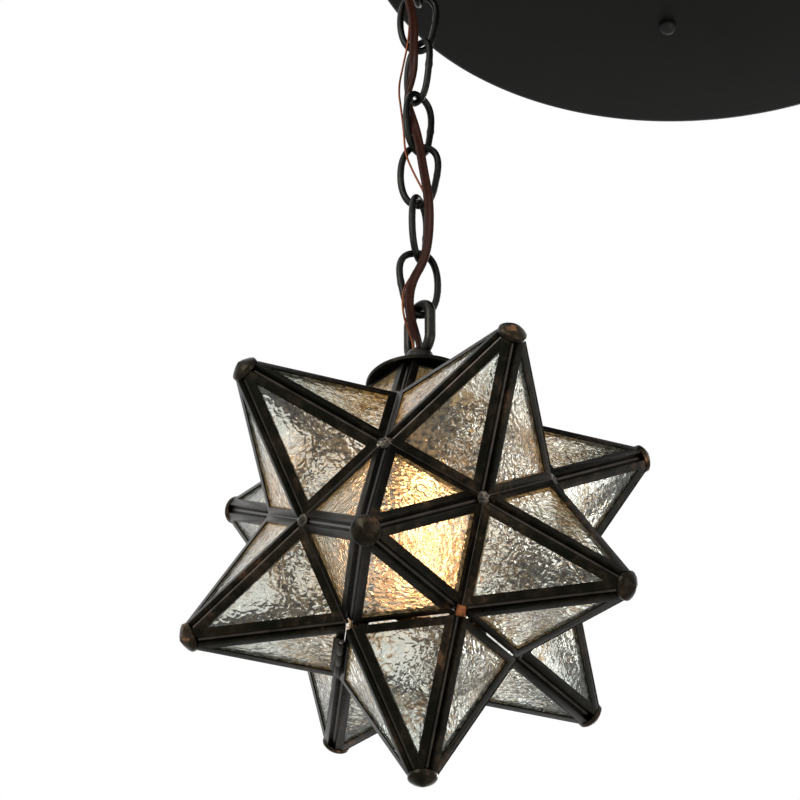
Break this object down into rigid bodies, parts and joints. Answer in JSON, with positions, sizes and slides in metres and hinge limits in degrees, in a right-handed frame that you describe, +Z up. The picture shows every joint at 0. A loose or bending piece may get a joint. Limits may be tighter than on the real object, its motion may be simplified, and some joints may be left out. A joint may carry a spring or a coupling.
{
  "type": "moravian star pendant light",
  "caption": "Glass star lantern in soldered metal channel, hung on a link chain from a wide round ceiling pan, with a hinged bottom point for the bulb.",
  "frame": {"origin": "on the ceiling plane, at the middle of the round pan and its crossbar", "axes": "+Z up; the chain hangs on the -X side of the pan; +Y points away from the picture's viewer"},
  "size_m": [0.4931, 0.4064, 0.5989],
  "materials": {
    "came": "dark bronze patina, rubbed brown edges",
    "finial": "dark bronze patina, coppery highlights",
    "glass_panes": "clear water glass, rippled",
    "bronze_paint": "satin dark bronze",
    "iron_black": "blackened steel, satin",
    "hinge_brass": "dark patina",
    "plated_steel": "zinc plated",
    "brown_cord": "brown flat cord, satin",
    "bare_copper": "bare copper",
    "holder_shell": "dark bronze",
    "socket": "glazed porcelain",
    "bulb_base": "rolled thread",
    "bulb_glass": "clear warm glass",
    "bulb_core": "glowing strips on a glass stem"
  },
  "bodies": {
    "canopy": {"canopy_pan": "bronze_paint", "crossbar": "plated_steel", "canopy_screws": "plated_steel", "canopy_cap_nuts": "bronze_paint", "canopy_loop": "iron_black", "stem_nut": "plated_steel", "lamp_cord_head": "brown_cord", "ground_wire_head": "bare_copper"},
    "chain": {"chain_link_1": "iron_black", "chain_link_2": "iron_black", "chain_link_3": "iron_black", "chain_link_4": "iron_black", "chain_link_5": "iron_black", "chain_link_6": "iron_black", "chain_link_7": "iron_black", "lamp_cord": "brown_cord", "ground_wire": "bare_copper"},
    "star": {"upper_1_frame": "came", "upper_1_panes": "glass_panes", "upper_2_frame": "came", "upper_2_panes": "glass_panes", "upper_3_frame": "came", "upper_3_panes": "glass_panes", "upper_4_frame": "came", "upper_4_panes": "glass_panes", "upper_5_frame": "came", "upper_5_panes": "glass_panes", "lower_1_frame": "came", "lower_1_panes": "glass_panes", "lower_2_frame": "came", "lower_2_panes": "glass_panes", "lower_3_frame": "came", "lower_3_panes": "glass_panes", "lower_4_frame": "came", "lower_4_panes": "glass_panes", "lower_5_frame": "came", "lower_5_panes": "glass_panes", "top_frame": "came", "top_panes": "glass_panes", "finials": "finial", "hinge_leaf_fixed": "hinge_brass", "hinge_pin": "plated_steel", "top_cap": "bronze_paint", "fixture_loop": "iron_black", "nipple": "plated_steel", "lock_nut": "plated_steel", "lampholder_cap": "holder_shell", "lampholder_shell": "holder_shell", "socket_insert": "socket", "bulb_base": "bulb_base", "bulb_glass": "bulb_glass", "bulb_core": "bulb_core", "lamp_cord_tail": "brown_cord", "ground_wire_tail": "bare_copper"},
    "door": {"door_frame": "came", "door_panes": "glass_panes", "door_finial": "finial", "hinge_leaf_door": "hinge_brass", "door_catch": "hinge_brass"}
  },
  "joints": [
    {"name": "chain_swing", "type": "hinge", "parent": "canopy", "child": "chain", "pos_m": [-0.1675, 0, -0.0553], "axis": [0.9848, -0.1736, 0], "range_deg": [-10, 10], "deforming": ["lamp_cord_head", "ground_wire_head"]},
    {"name": "star_swing", "type": "hinge", "parent": "chain", "child": "star", "pos_m": [-0.1675, 0, -0.3099], "axis": [0.6157, -0.788, 0], "range_deg": [-8, 8], "deforming": ["lamp_cord_tail", "ground_wire_tail"]},
    {"name": "door_hinge", "type": "hinge", "parent": "star", "child": "door", "pos_m": [-0.20924, -0.00373, -0.52881], "axis": [-0.0889, 0.996, 0], "range_deg": [0, 95]}
  ]
}
